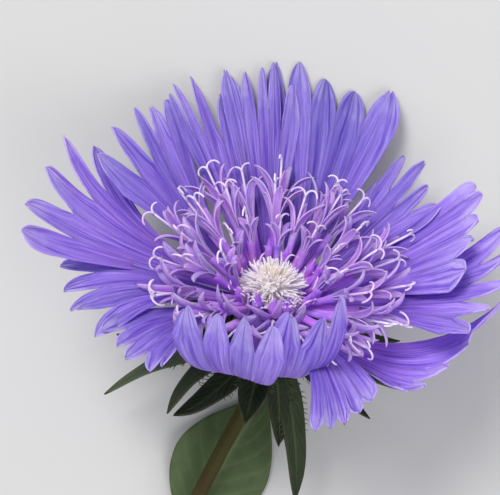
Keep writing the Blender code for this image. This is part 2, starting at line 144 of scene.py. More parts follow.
# Inner florets in rings: the root's place, the rise, and the lengths of tube, straps, spread and
# style in mm
Ring = namedtuple("Ring", "count root rise tube strap spread style")
RINGS = (
    Ring(18, (5.0, 3.8), 30, 12.0, 10.0, 5.5, 9.5),
    Ring(14, (4.9, 4.3), 45, 9.5, 8.5, 4.6, 7.5),
    Ring(10, (5.6, 4.4), 62, 6.0, 5.0, 2.6, 5.0),
)
FRONT_SHORTER = 0.25  # share of the length that is missing where the front petals stand close
FRONT_OPEN = 0.15  # the inner rings leave the front free where it counts more than this
LOW_SIDES = ((-127, 28, 13), (133, 24, 14))  # where florets lie lower: azimuth, width and drop in degrees
# Florets low at the sides that turn: azimuth, rise, share of the length, and the turn in degrees
BENT = ((127, 22, 0.95, 40), (139, 17, 0.9, 34), (112, 20, 1.05, 16),
        (-116, 20, 0.95, -16), (-130, 18, 0.85, -28), (-143, 24, 0.72, -10))
STRAPS = 5
STRAP_ROWS = 13
STRAP_COLUMNS = 5
STRAP_HALF = 0.76 * MM
STRAP_THICK = 0.2 * MM
STRAP_START = 0.35  # where on the petal's run of colours the tube ends and its straps begin
TUBE_SIDES = 10
TUBE_ROWS = 9
STYLE_RADIUS = 0.25 * MM
HOOK_RADIUS = 0.22 * MM
HOOK_CURL = (0.95, 1.5)  # radius of a style's hooks, in mm
HOOK_TURN = (130, 200)

# Closed florets, threads and the pale tuft in the middle. Pairs are ranges, in mm or in degrees
CLUB_COUNT = 15
CLUB_RISE = (52, 68)
CLUB_LENGTH = (5.2, 7.0)
THREAD_COUNT = 36  # all round, and half as many again in front
THREAD_RISE = (42, 78)
THREAD_LENGTH = (3.6, 6.4)
THREAD_HOOK = (0.4, 2.4)
THREAD_RADIUS = 0.26 * MM
DISC_CENTRE = np.array([-0.4, -1.2, 5.9]) * MM
DISC_RADIUS = 4.3 * MM
DISC_RISE = 3.7 * MM
DISC_SUNK = 0.4 * MM
NEEDLE_COUNT = 400
NEEDLE_TILT = 84  # of the outermost ones, in degrees from the axis
NEEDLE_FOOT = 1.2 * MM
NEEDLE_REACH = (5.0, 7.2)
NEEDLE_RADIUS = (0.23, 0.36)
NEEDLE_BEND = (0.1, 1.3)

# Leafy bracts: azimuth, droop at the root and the curl added up to the tip in degrees, length and half
# the width in mm. Then the short pressed bracts, the stem and its leaf.
Bract = namedtuple("Bract", "azimuth droop curl length half")
BRACTS = (
    Bract(-102, 6, 42, 28.8, 2.4),
    Bract(-118, 5, 73, 21, 2.3),
    Bract(-147, 27, -48, 23.5, 2.7),
    Bract(-174, 17, 3, 14.6, 3.1),
    Bract(156, 39, 45, 18, 2.3),
    Bract(141, 48, 39, 31, 2.8),
    Bract(118, 12, 8, 20, 2.2),
    Bract(94, 10, 8, 23, 2.2),
    Bract(66, 8, 8, 24, 2.3),
    Bract(40, 6, 4, 26, 2.2),
    Bract(12, 4, 4, 24, 2.1),
    Bract(-19, 6, 4, 26, 2.3),
    Bract(-50, 7, 4, 23, 2.2),
    Bract(-82, 12, 8, 25, 2.1),
)
# How light each leafy bract is painted, as its tone: painted light on the lit ones, painted shade on the
# darker ones
BRACT_PAINTED_LIGHT = (0.8, 0.3, 0, 0, 0, 0.12, 0.1, 0.3, 0.2, 0.1, 0.2, 0.1, 0.2, 0.3)
BRACT_ROOT = (5.6, -7.5)
BRACT_THICK = 0.4 * MM
BRACT_KEEL = 0.4 * MM
BRACT_ROWS = 20
BRACT_BRISTLES = 12  # on each margin
SCALE_RINGS = ((11, -9.2, 5.4), (12, -5.2, 6.8))  # count, height and radius in mm
SCALE_RISE = 62
SCALE_LENGTH = 6.0 * MM
SCALE_HALF = 1.6 * MM
SCALE_KEEL = 0.3 * MM
SCALE_BRISTLES = 5
SPIKE_RADII = (0.13 * MM, 0.09 * MM, 0.02 * MM)
SPIKE_LENGTH = (0.7, 1.5)
SPIKE_LEVEL = 0.2 * MM
# The stem's end and bend are measured from the surface under the head's centre, and so is the leaf's tip
STEM_END = np.array([-26.5, -64.0, 1.35]) * MM
STEM_BEND = np.array([-11.0, -27.0, 5.2]) * MM
STEM_ROWS = 90
LEAF_NODE = 0.74  # share of the way down the stem where the leaf sits
LEAF_TIP = np.array([0.5, -15.0, 0.0]) * MM
LEAF_HALF = 8.6 * MM
LEAF_THICK = 0.4 * MM
LEAF_CLEAR = 0.1 * MM
LEAF_ROWS = 40

# The picture: the camera looks straight down, and the head's centre isn't in the middle
PICTURE_WIDTH = 500  # pixels
PIXELS_PER_METRE = 5500  # at the height of the head's centre
HEAD_IN_PICTURE = (21, -62.5)  # pixels to the right of the middle and above it
CAMERA_HEIGHT = 0.44
SENSOR_WIDTH = 36  # mm
# Each light's place, size and power, and where both point
KEY_LIGHT = ((-0.5, 0.9, 1.4), 0.7, 20.5)
FILL_LIGHT = ((0.7, -0.9, 1.1), 1.2, 11.0)
LIT_PLACE = (0, 0, 0.02)
SKY_COLOUR = (0.9, 0.93, 1.0, 1)
SKY_STRENGTH = 0.54
FLOOR_REACH = 1.5


def srgb(*levels):
    """A colour in 0 to 255 screen levels, as linear light."""
    return tuple(((v / 255 + 0.055) / 1.055) ** 2.4 if v > 10 else v / 255 / 12.92 for v in levels) + (1.0,)


# Colours of the petals from root to tip, and of their streaks; the pale streak colour also paints the
# highlight on the rims
PETAL_STOPS = (
    (0.0, srgb(164, 104, 192)),
    (0.3, srgb(150, 100, 208)),
    (0.6, srgb(144, 110, 218)),
    (0.85, srgb(151, 128, 226)),
    (1.0, srgb(184, 170, 240)),
)
PETAL_STREAKS = (srgb(184, 156, 250), srgb(98, 62, 182))
INNER_STOPS = (
    (0.0, srgb(236, 152, 230)),
    (0.35, srgb(212, 150, 252)),
    (0.7, srgb(204, 158, 255)),
    (1.0, srgb(228, 200, 255)),
)
INNER_STREAKS = (srgb(226, 194, 255), srgb(174, 108, 246))
CLUB_STOPS = (
    (0.0, srgb(214, 128, 184)),
    (0.45, srgb(208, 130, 216)),
    (0.8, srgb(196, 130, 236)),
    (1.0, srgb(194, 142, 246)),
)
CLUB_STREAKS = (srgb(206, 160, 250), srgb(150, 84, 214))
NEEDLE_STOPS = (
    (0.0, srgb(252, 226, 222)),
    (0.35, srgb(255, 246, 242)),
    (0.7, srgb(255, 254, 254)),
)
STEM_STOPS = (
    (0.3, srgb(50, 42, 10)),
    (0.52, srgb(50, 54, 12)),
    (0.75, srgb(56, 66, 20)),
)
# The greens: dark, light, and the colour of ribs and veins
BRACT_GREENS = (srgb(14, 24, 6), srgb(92, 106, 80), srgb(84, 98, 60))
LEAF_GREENS = (srgb(62, 78, 48), srgb(92, 110, 74), srgb(124, 136, 98))


# Places and directions

def unit(vector):
    return vector / np.linalg.norm(vector, axis=-1, keepdims=True)


def head_matrix():
    s, c = math.sin(AXIS_RISE), math.cos(AXIS_RISE)
    tip = np.array([[1, 0, 0], [0, s, c], [0, -c, s]])
    s, c = math.sin(-HEAD_ROLL), math.cos(-HEAD_ROLL)
    roll = np.array([[c, -s, 0], [s, c, 0], [0, 0, 1]])
    return roll @ tip


HEAD = head_matrix()


def to_world(points):
    return np.asarray(points, float) @ HEAD.T + HEAD_CENTRE


def press(points, level):
    """Bends what comes near or under the surface so that it lies at this level."""
    points = np.array(points, float)
    over = (points[..., 2] - level) / PRESS_SOFTNESS
    points[..., 2] = level + PRESS_SOFTNESS * np.logaddexp(0, over)
    return points


def cubic(controls, t):
    a, b, c, d = (np.asarray(p, float) for p in controls)
    t = np.asarray(t, float)[:, None]
    return (1 - t) ** 3 * a + 3 * t * (1 - t) ** 2 * b + 3 * t * t * (1 - t) * c + t**3 * d


def directions(azimuth, rise):
    """Unit vectors outwards in the plane of the head, along the rise, sideways, and up off the petal."""
    azimuth, rise = math.radians(azimuth), math.radians(rise)
    out = np.array([math.sin(azimuth), math.cos(azimuth), 0])
    up = np.array([0, 0, 1.0])
    side = np.array([math.cos(azimuth), -math.sin(azimuth), 0])
    along = out * math.cos(rise) + up * math.sin(rise)
    over = up * math.cos(rise) - out * math.sin(rise)
    return out, along, side, over


def at(out, place):
    return (out * place[0] + np.array([0, 0, place[1]])) * MM


def frontness(azimuth):
    """1 for what grows straight to the front, falling to 0 at the sides."""
    return max(0, -math.cos(math.radians(azimuth)))


def turned_about(vectors, axes, angles):
    """Vectors turned about unit axes, point by point."""
    c, s = np.cos(angles)[..., None], np.sin(angles)[..., None]
    dots = (vectors * axes).sum(-1, keepdims=True)
    return vectors * c + np.cross(axes, vectors) * s + axes * dots * (1 - c)


# Meshes

class Surface:
    """Points, faces and the numbers that materials read, gathered for one piece."""

    def __init__(self):
        self.points, self.faces, self.count = [], [], 0
        self.along, self.across, self.tone = [], [], []

    def add(self, points, faces, along=0.0, across=0.0, tone=0.0):
        points = np.asarray(points, float).reshape(-1, 3)
        self.points.append(points)
        self.faces += [tuple(i + self.count for i in face) for face in faces]
        self.count += len(points)
        for store, value in ((self.along, along), (self.across, across), (self.tone, tone)):
            store.append(np.broadcast_to(np.asarray(value, float).reshape(-1), (len(points),)))

    def piece(self, name, node, slot, material, thickness=0):
        """Makes the piece that stands in for a node of the solids, as a sheet of this thickness if any."""
        mesh = bpy.data.meshes.new(name)
        mesh.from_pydata(np.concatenate(self.points).tolist(), [], self.faces)
        for key in ("along", "across", "tone"):
            field = mesh.attributes.new(key, "FLOAT", "POINT")
            field.data.foreach_set("value", np.concatenate(getattr(self, key)).astype(np.float32))
        mesh.materials.append(material)
        mesh.shade_smooth()
        made = bpy.data.objects.new(name, mesh)
        bpy.context.scene.collection.objects.link(made)
        if thickness:
            solid = made.modifiers.new("thickness", "SOLIDIFY")
            solid.thickness = thickness
            solid.offset = 0
        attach(made, "root")
        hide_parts(node)


def grid_faces(rows, columns, closed=False):
    """Quads of a grid of points. A closed one joins its last column to its first."""
    faces = []
    for r in range(rows - 1):
        for c in range(columns if closed else columns - 1):
            n = (c + 1) % columns
            faces.append((r * columns + c, r * columns + n, (r + 1) * columns + n, (r + 1) * columns + c))
    return faces


def pointed_faces(rows, columns):
    """Faces of a grid of points whose last row is a single one."""
    tip = (rows - 1) * columns
    fan = [(tip - columns + n, tip - columns + n + 1, tip) for n in range(columns - 1)]
    return grid_faces(rows - 1, columns) + fan


def sweep(line, radii, sides, ribs=0, rib_depth=0.0):
    """Rings of points along a line, with an optional number of low ribs down its length."""
    line = np.asarray(line, float)
    tangents = unit(np.gradient(line, axis=0))
    normal = unit(np.cross(tangents[0], (0.31, 0.17, 0.93)))
    turns = np.linspace(0, 2 * math.pi, sides, endpoint=False)
    swell = 1 + rib_depth * np.cos(ribs * turns)
    rings = []
    for point, along, radius in zip(line, tangents, radii):
        normal = unit(normal - along * (normal @ along))
        other = np.cross(along, normal)
        ring = np.cos(turns)[:, None] * normal + np.sin(turns)[:, None] * other
        rings.append(point + radius * swell[:, None] * ring)
    return np.array(rings)


def add_tube(surface, line, radii, sides, tone=0.0, across=0.0, world=False, **ribs):
    """A closed tube along a line, which is in the head's frame unless it is in the world's."""
    rings = sweep(line, radii, sides, **ribs)
    rows = len(rings)
    faces = grid_faces(rows, sides, closed=True)
    faces.append(tuple(range(sides))[::-1])
    faces.append(tuple(range((rows - 1) * sides, rows * sides)))
    along = np.repeat(np.linspace(0, 1, rows), sides)
    points = rings.reshape(-1, 3)
    surface.add(points if world else to_world(points), faces, along, across, tone)


def add_turned(surface, profile, sides, rows, centre, along, across, tone):
    """A form turned about the axis from (radius, height) pairs, moved to its centre."""
    profile = np.array(profile)
    steps = np.linspace(0, len(profile) - 1, rows)
    radius = np.interp(steps, np.arange(len(profile)), profile[:, 0])
    height = np.interp(steps, np.arange(len(profile)), profile[:, 1])
    turns = np.linspace(0, 2 * math.pi, sides, endpoint=False)
    x, y = np.outer(radius, np.sin(turns)), np.outer(radius, np.cos(turns))
    z = np.repeat(height[:, None], sides, axis=1)
    points = np.stack([x, y, z], -1) + centre
    surface.add(to_world(points.reshape(-1, 3)), grid_faces(rows, sides, closed=True), along, across, tone)


# Ray florets

def rib_curves(ray, draw):
    """The curve down each lobe's middle, from the root through the throat to the tip."""
    out, along, side, over = directions(ray.azimuth, ray.rise)
    root, throat = at(out, RAY_ROOT), at(out, ray.throat)
    ribs = []
    for k, (share, sway) in enumerate(ray.lobes):
        place = k - (len(ray.lobes) - 1) / 2
        share_out = 2 * place / (len(ray.lobes) - 1)
        fan = math.radians(ray.lean + ray.spread * share_out + sway + draw.uniform(-0.8, 0.8))
        wide = 0.8 * fan + math.radians(ray.bow * share_out)
        reach = ray.reach * MM * share * draw.uniform(0.985, 1.015)
        low = place * TUBE_STEP * side
        lift = draw.uniform(-0.5, 0.7) * MM
        bend = throat + reach / 2 * (math.cos(wide) * along + math.sin(wide) * side)
        tip = throat + reach * (math.cos(fan) * along + math.sin(fan) * side) + over * lift
        ribs.append((root + low, throat + low, bend + ray.arch * MM * over, tip))
    return ribs, over


def lobe_width(share, bulge, blunt, taper):
    """How wide a lobe is at a share of the way from its notch to its tip, where 1 is full width."""
    ends = (1 - share ** (3.4 + 0.8 * blunt)) ** (0.6 - 0.07 * blunt)
    return ends * (1 + bulge * share * (1 - share) - taper * share)


def lobe_edges(lines, k, shares, notches):
    """For each side of a lobe, the way from its rib halfway to the next one, which stays the same from
    the notch on, and how far each row is past that notch."""
    edges = []
    for edge, other in ((k, k - 1), (k + 1, k + 1)):
        sign = 1
        if other < 0 or other >= len(lines):
            other, sign = (1 if other < 0 else len(lines) - 2), -EDGE_WIDER
        half = sign * (lines[other] - lines[k]) / 2
        past = np.clip((shares - shares[notches[edge]]) / (1 - shares[notches[edge]]), 0, 1)
        held = half[np.minimum(np.arange(len(shares)), notches[edge])]
        edges.append((held, past))
    return edges


def lobe_relief(ray, shares, past, width, lateral, phase, draw):
    """How far a lobe's points stand over its flat shape: gutter, fold, veins, wave and curled tip."""
    early = np.clip(1 - shares / TUBE_SHARE, 0, 1)[:, None]
    gutter = GUTTER_DEPTH * early * lateral**2
    flatter = 0.45 if ray.rise > STANDING else 1
    fold = (0.1 + 0.3 * shares[:, None]) * MM * np.minimum(1, width / MM) * flatter
    fold = fold + draw.uniform(0.05, 0.4) * np.minimum(0.5 * width, 0.8 * MM) * past
    fold = fold * ACROSS[None, :] ** 2
    veins = VEIN_HEIGHT * np.cos(math.pi * 4 * ACROSS[None, :]) * np.minimum(1, width / (1.2 * MM))
    wave = WAVE_HEIGHT * np.sin(phase + 3.1 * lateral) * shares[:, None] ** 2
    curl = draw.uniform(-1.3, 1.6) * (0.3 if ray.notch > BLUNT_NOTCH else 1) * MM * past**2
    return gutter + fold + veins + wave + curl


def add_lobe(surface, numbers, k, notch, points, shares, past, split, tone):
    """Adds a lobe's points and faces. It shares its left edge with the lobe before it up to their notch,
    and all points of its tip are one, unless the tip is split."""
    rows, columns = len(shares), len(ACROSS)
    new_points, alongs, acrosses = [], [], []
    for r in range(rows):
        for n in range(columns):
            if n == 0 and k and r <= notch:
                numbers[k, r, 0] = numbers[k - 1, r, -1]
            elif r == rows - 1 and n and not split:
                numbers[k, r, n] = numbers[k, r, 0]
            else:
                numbers[k, r, n] = surface.count + len(new_points)
                new_points.append(points[r, n])
                alongs.append(shares[r])
                acrosses.append(ACROSS[n] * (0.6 + 0.4 * past[r, n] ** 0.6))
    faces = []
    for r in range(rows - 1):
        for n in range(columns - 1):
            low, high = numbers[k, r], numbers[k, r + 1]
            face = (low[n], low[n + 1], high[n + 1], high[n])
            face = face if split or r < rows - 2 else face[:3]
            faces.append(tuple(int(i) - surface.count for i in face))
    surface.add(new_points, faces, alongs, acrosses, tone)


def add_fan(surface, ray, shade, draw):
    """A ray floret: lobes that part at notches of uneven depth, each channelled, ridged and twisted."""
    lobe_shares = ray.notch + (1 - ray.notch) * np.sin(np.linspace(0, math.pi / 2, LOBE_ROWS + 1)[1:])
    shares = np.append(np.linspace(0, ray.notch, PALM_ROWS), lobe_shares)
    ribs, over = rib_curves(ray, draw)
    lines = np.array([cubic(rib, shares) for rib in ribs])
    count = len(lines)
    blunt = ray.notch > BLUNT_NOTCH
    taper = blunt * (0.5 if ray.rise > STANDING else 0.15)
    notches = [PALM_ROWS - 1 + (0 if blunt else draw.choice(NOTCH_STEPS)) for _ in range(count + 1)]
    phase = draw.uniform(0, 6.3)
    numbers = np.empty((count, len(shares), len(ACROSS)), int)
    mix = (ACROSS[None, :] + 1) / 2
    for k, line in enumerate(lines):
        bulge = draw.uniform(-0.9, 0.5) * (not blunt)
        split = draw.random() < SPLIT_CHANCE and not blunt
        sides, parted = [], []
        for held, past in lobe_edges(lines, k, shares, notches):
            full = np.maximum(lobe_width(past, bulge, blunt, taper), SPLIT_WIDTH * split)
            sides.append(held * full[:, None])
            parted.append(past)
        left, right = sides[0][:, None], sides[1][:, None]
        c = ACROSS[None, :, None]
        flat = (right - left) / 2 * c + (right + left) / 2 * c**2
        past = parted[0][:, None] * (1 - mix) + parted[1][:, None] * mix
        width = np.linalg.norm(right - left, axis=-1) / 2
        axes = unit(np.gradient(line, axis=0))[:, None]
        twist = math.radians(draw.uniform(-14, 14)) * past
        flat = turned_about(flat, np.broadcast_to(axes, flat.shape), twist)
        lateral = (k + mix - count / 2) / (count / 2)
        relief = lobe_relief(ray, shares, past, width, lateral, phase, draw)
        points = line[:, None] + flat + over * relief[..., None]
        fork = split * SPLIT_DEPTH * past**8 * (1 - np.abs(2 * np.abs(ACROSS) - 0.9))
        points += axes * fork[..., None]
        points = press(to_world(points), PETAL_THICK / 2 + STACK * ray.layer)
        # The tone carries the ray floret's painted light or painted shade on top of its random tone
        tone = draw.random() + shade
        add_lobe(surface, numbers, k, notches[k], points, shares, past, split, tone)


# Inner florets

def drop_at(azimuth):
    """How many degrees lower the florets at this azimuth lie."""
    turn = (azimuth + 180) % 360 - 180
    return sum(drop * math.exp(-(((turn - middle) / width) ** 2)) for middle, width, drop in LOW_SIDES)


def floret_places(draw):
    """Each floret's ring, azimuth, rise, share of the length, and the turn of its first strap."""
    for number, ring in enumerate(RINGS):
        for k in range(ring.count):
            azimuth = 360 * (k + number / 2) / ring.count + draw.uniform(-6, 6)
            front = frontness(azimuth) ** 5
            if number and front > FRONT_OPEN:
                continue
            rise = ring.rise + draw.uniform(-5, 5) - drop_at(azimuth) * (1 - number / 2)
            length = draw.uniform(0.84, 1.08) * (1 - FRONT_SHORTER * front)
            yield ring, azimuth, rise, length, draw.uniform(0, 360 / STRAPS)


def add_strap(surface, mouth, along, away, length, spread, draw):
    """A narrow lobe of an inner floret: channelled, arching outwards, its pointed tip curled."""
    s = np.linspace(0, 1, STRAP_ROWS)
    spread *= draw.uniform(0.7, 1.25)
    length *= draw.uniform(0.82, 1.1)
    side = unit(np.cross(along, away))
    sway = side * draw.uniform(-0.9, 0.9) * MM
    controls = (
        mouth - along * 0.8 * MM + away * 0.35 * MM,
        mouth + along * length * 0.35 + away * spread * 0.12,
        mouth + along * length * 0.8 + away * spread * 0.4 + sway,
        mouth + along * length * draw.uniform(0.72, 0.92) + away * spread + sway * 2,
    )
    line = cubic(controls, s)
    tangents = unit(np.gradient(line, axis=0))
    turn = math.radians(draw.uniform(-50, 50)) * s
    sides = turned_about(np.broadcast_to(side, line.shape), tangents, turn)
    normals = np.cross(sides, tangents)
    half = STRAP_HALF * draw.uniform(0.85, 1.15) * (0.55 + 1.5 * s * (1 - s) + 0.3 * s) * (1 - s**4) ** 0.8
    c = np.linspace(-1, 1, STRAP_COLUMNS)[None, :, None]
    points = line[:, None] + sides[:, None] * c * half[:, None, None]
    points += normals[:, None] * 0.55 * half[:, None, None] * (c**2 - 0.4)
    kept = np.vstack([points[:-1].reshape(-1, 3), line[-1:]])
    values = np.append(np.repeat(STRAP_START + (1 - STRAP_START) * s[:-1], STRAP_COLUMNS), 1.0)
    crossed = np.append(np.tile(c.ravel(), STRAP_ROWS - 1), 0.0)
    surface.add(to_world(kept), pointed_faces(STRAP_ROWS, STRAP_COLUMNS), values, crossed, draw.random())


def add_style(surface, mouth, along, side, length, draw):
    """A thread out of the floret's mouth that forks in two arms, each curled back in a hook."""
    side = turned_about(side, along, np.array(draw.uniform(-1.2, 1.2)))
    lean = side * draw.uniform(-0.6, 0.6) * MM
    top = mouth + along * length + lean
    s = np.linspace(0, 1, 7)
    thread = cubic((mouth - along * MM, mouth + along * length * 0.4, top - along * length * 0.3, top), s)
    add_tube(surface, thread, STYLE_RADIUS - 0.04 * MM * s, 7, tone=draw.random())
    for hand in (-1, 1):
        curl = draw.uniform(*HOOK_CURL) * MM
        turns = np.linspace(0, math.radians(draw.uniform(*HOOK_TURN)), 13)
        away = turned_about(hand * side, along, np.array(draw.uniform(-0.5, 0.5)))
        arm = top + curl * away * (1 - np.cos(turns))[:, None] + curl * along * np.sin(turns)[:, None]
        add_tube(surface, arm, HOOK_RADIUS * (1 - 0.3 * turns / turns[-1]), 7, tone=draw.random())


def add_floret(petals, pale, ring, azimuth, rise, length, first, draw, bend=0):
    """An open inner floret: its tube, its straps, and the pale column and style in its mouth."""
    out, along, side, over = directions(azimuth, rise)
    root = at(out, ring.root)
    mouth = root + along * ring.tube * length * MM
    middle = (root + mouth) / 2 - over * 0.5 * MM
    s = np.linspace(0, 1, TUBE_ROWS)
    line = cubic((root, middle, middle, mouth), s)
    radii = (0.42 + 0.12 * s + 0.2 * s**4) * MM
    rings = to_world(sweep(line, radii, TUBE_SIDES).reshape(-1, 3))
    faces = grid_faces(TUBE_ROWS, TUBE_SIDES, closed=True)
    petals.add(rings, faces, np.repeat(STRAP_START * s, TUBE_SIDES), 0, draw.random())
    _, along, side, over = directions(azimuth + bend, rise - abs(bend) / 4)
    for k in range(STRAPS):
        turn = math.radians(first + 360 / STRAPS * k + draw.uniform(-9, 9))
        lift = math.sin(turn)
        away = side * math.cos(turn) + over * (lift if lift > 0 else 0.35 * lift)
        add_strap(petals, mouth, along, away, ring.strap * length * MM, ring.spread * MM, draw)
    column = np.array([mouth - along * 0.8 * MM, mouth + along * 1.6 * MM, mouth + along * 2.6 * MM])
    add_tube(pale, column, (0.3 * MM, 0.34 * MM, 0.24 * MM), 8, tone=draw.random())
    add_style(pale, mouth, along, side, ring.style * length * MM, draw)


def add_club(surface, azimuth, draw):
    """A floret that hasn't opened: a slender tube with a swollen, blunt end, stouter in front."""
    front = frontness(azimuth)
    out, along, _, over = directions(azimuth, draw.uniform(*CLUB_RISE) + 24 * front**3)
    root = at(out, (5.8 + 2.2 * front**2, 4.2 - 0.3 * front**2))
    length = (draw.uniform(*CLUB_LENGTH) - 0.5 * front) * MM
    stout = 1 + 0.7 * front**4
    s = np.linspace(0, 1, 12)
    line = root + along * length * s[:, None] + over * (0.5 * MM * s**2)[:, None]
    swollen = 0.34 + 0.52 * stout * np.exp(-(((s - 0.6) / 0.24) ** 2))
    radii = swollen * MM * np.clip(1 - s**3.4, 0.002, 1) ** 0.65
    add_tube(surface, line, radii, 9, tone=draw.random())


def add_threads(surface, draw):
    """Slender pale threads between the unopened florets, each leaning its own way, closest in front."""
    places = [360 * k / THREAD_COUNT + draw.uniform(-9, 9) for k in range(THREAD_COUNT)]
    for azimuth in places + [180 + draw.uniform(-60, 60) for _ in range(THREAD_COUNT // 2)]:
        front = frontness(azimuth)
        out, along, side, _ = directions(azimuth, draw.uniform(*THREAD_RISE) + 20 * front**3)
        foot = at(out, (draw.uniform(5.4, 6.8) + 1.2 * front**3, 4.6))
        reach = draw.uniform(*THREAD_LENGTH) * MM
        s = np.linspace(0, 1, 8)
        hook = draw.choice((-1, 1)) * draw.uniform(*THREAD_HOOK) * MM
        line = foot + along * (reach * (s - 0.3 * s**5))[:, None] + side * (hook * s**3)[:, None]
        add_tube(surface, line, THREAD_RADIUS * (1 - 0.6 * s**2), 6, tone=draw.random())


def add_needles(surface, draw):
    """The pale points that stand out all round from the middle of the disc, short and cream inside."""
    s = np.linspace(0, 1, 8)
    for k in range(NEEDLE_COUNT):
        share = math.sqrt((k + 0.5) / NEEDLE_COUNT)
        turn = k * GOLDEN + draw.uniform(-0.3, 0.3)
        out = np.array([math.sin(turn), math.cos(turn), 0])
        tilt = math.radians(NEEDLE_TILT * share + draw.uniform(-10, 10))
        way = out * math.sin(tilt) + np.array([0, 0, math.cos(tilt)])
        cream = max(0, 1 - 1.8 * share)
        shorter_behind = 0.95 - 0.22 * share * math.cos(turn)
        reach = (draw.uniform(*NEEDLE_REACH) - 0.8 * cream) * MM * shorter_behind
        swing = draw.uniform(0, 6.3)
        across = unit(np.cross(way, out + np.array([0.1, 0.2, 0.7])))
        bend = across * math.cos(swing) + np.cross(way, across) * math.sin(swing)
        line = DISC_CENTRE + way * (NEEDLE_FOOT + (reach - NEEDLE_FOOT) * s)[:, None]
        line = line + bend * ((1 - 0.6 * cream) * draw.uniform(*NEEDLE_BEND) * MM * s**2.5)[:, None]
        radii = draw.uniform(*NEEDLE_RADIUS) * (1 - 0.25 * cream) * MM * (1 - 0.6 * s**3)
        add_tube(surface, line, radii, 6, tone=draw.random(), across=cream)


# Bracts, leaf and stem

def add_blade(surface, line, frame, halves, columns, level, tone, keel, draw, world=False):
    """A pointed leafy blade with a keel, a rib under it and a waved edge. Gives its unpressed points."""
    side, over = frame
    rows = len(line)
    s = np.linspace(0, 1, rows)
    c = np.linspace(-1, 1, columns)
    phase = draw.uniform(0, 6.3)
    wave = 0.06 * halves[:, None] * np.sin(9 * s[:, None] + phase + 1.3 * c[None]) * np.abs(c)[None] ** 2
    rise = -keel * (1 - np.abs(c)[None]) * np.minimum(1, halves[:, None] / MM) + 3 * wave
    rib = -0.1 * MM * np.exp(-((c[None] / 0.1) ** 2)) * np.ones((rows, 1))
    points = line[:, None] + side * c[None, :, None] * halves[:, None, None]
    points = points + over * (rise + rib)[..., None]
    kept = np.vstack([points[:-1].reshape(-1, 3), line[-1:]])
    placed = press(kept if world else to_world(kept), level)
    along = np.append(np.repeat(s[:-1], columns), 1.0)
    crossed = np.append(np.tile(c, rows - 1), 0.0)
    surface.add(placed, pointed_faces(rows, columns), along, crossed, tone)
    return points


def add_bristles(surface, line, frame, points, count, draw):
    """Short stiff bristles along both margins of a blade, on the half nearer its root."""
    side, over = frame
    rows = len(line)
    for hand in (0, -1):
        for k in range(count):
            row = (0.1 + 0.42 * (k + draw.uniform(0, 0.8)) / count) * (rows - 1)
            low = int(row)
            foot = points[low, hand] * (1 - row + low) + points[low + 1, hand] * (row - low)
            outward = side * (1 if hand else -1)
            ahead = unit(line[low + 1] - line[low])
            way = unit(outward + ahead * draw.uniform(0.2, 0.9) + over * draw.uniform(-0.3, 0.3))
            length = draw.uniform(*SPIKE_LENGTH) * MM
            spike = np.array([foot - way * 0.3 * MM, foot + way * length * 0.5, foot + way * length])
            rings = press(to_world(sweep(spike, SPIKE_RADII, 4).reshape(-1, 3)), SPIKE_LEVEL)
            faces = grid_faces(3, 4, closed=True) + [(3, 2, 1, 0), (8, 9, 10, 11)]
            surface.add(rings, faces, 0.4, 0.8, 0.5)


def bract_line(bract):
    """The middle line of a leafy bract, and its directions sideways and up off the blade."""
    out, _, side, _ = directions(bract.azimuth, 0)
    line = [at(out, BRACT_ROOT) - out * 1.5 * MM]
    for share in np.linspace(0, 1, BRACT_ROWS)[1:]:
        _, along, _, _ = directions(bract.azimuth, -(bract.droop + bract.curl * share))
        line.append(line[-1] + along * bract.length * MM / (BRACT_ROWS - 1))
    _, _, _, over = directions(bract.azimuth, -(bract.droop + bract.curl / 2))
    return np.array(line), (side, over)


def bract_halves(bract):
    s = np.linspace(0, 1, BRACT_ROWS)
    return bract.half * MM * ((0.55 + 1.6 * s * (1 - s)) * (1 - s**4) ** 0.85)


def stem_line():
    top = to_world([0, 0, -CUP_DEPTH - GAP])
    leaving = to_world([0, 0, -CUP_DEPTH - 9 * MM])
    return top, leaving, HEAD_CENTRE * (1, 1, 0) + STEM_BEND, HEAD_CENTRE * (1, 1, 0) + STEM_END


# Materials

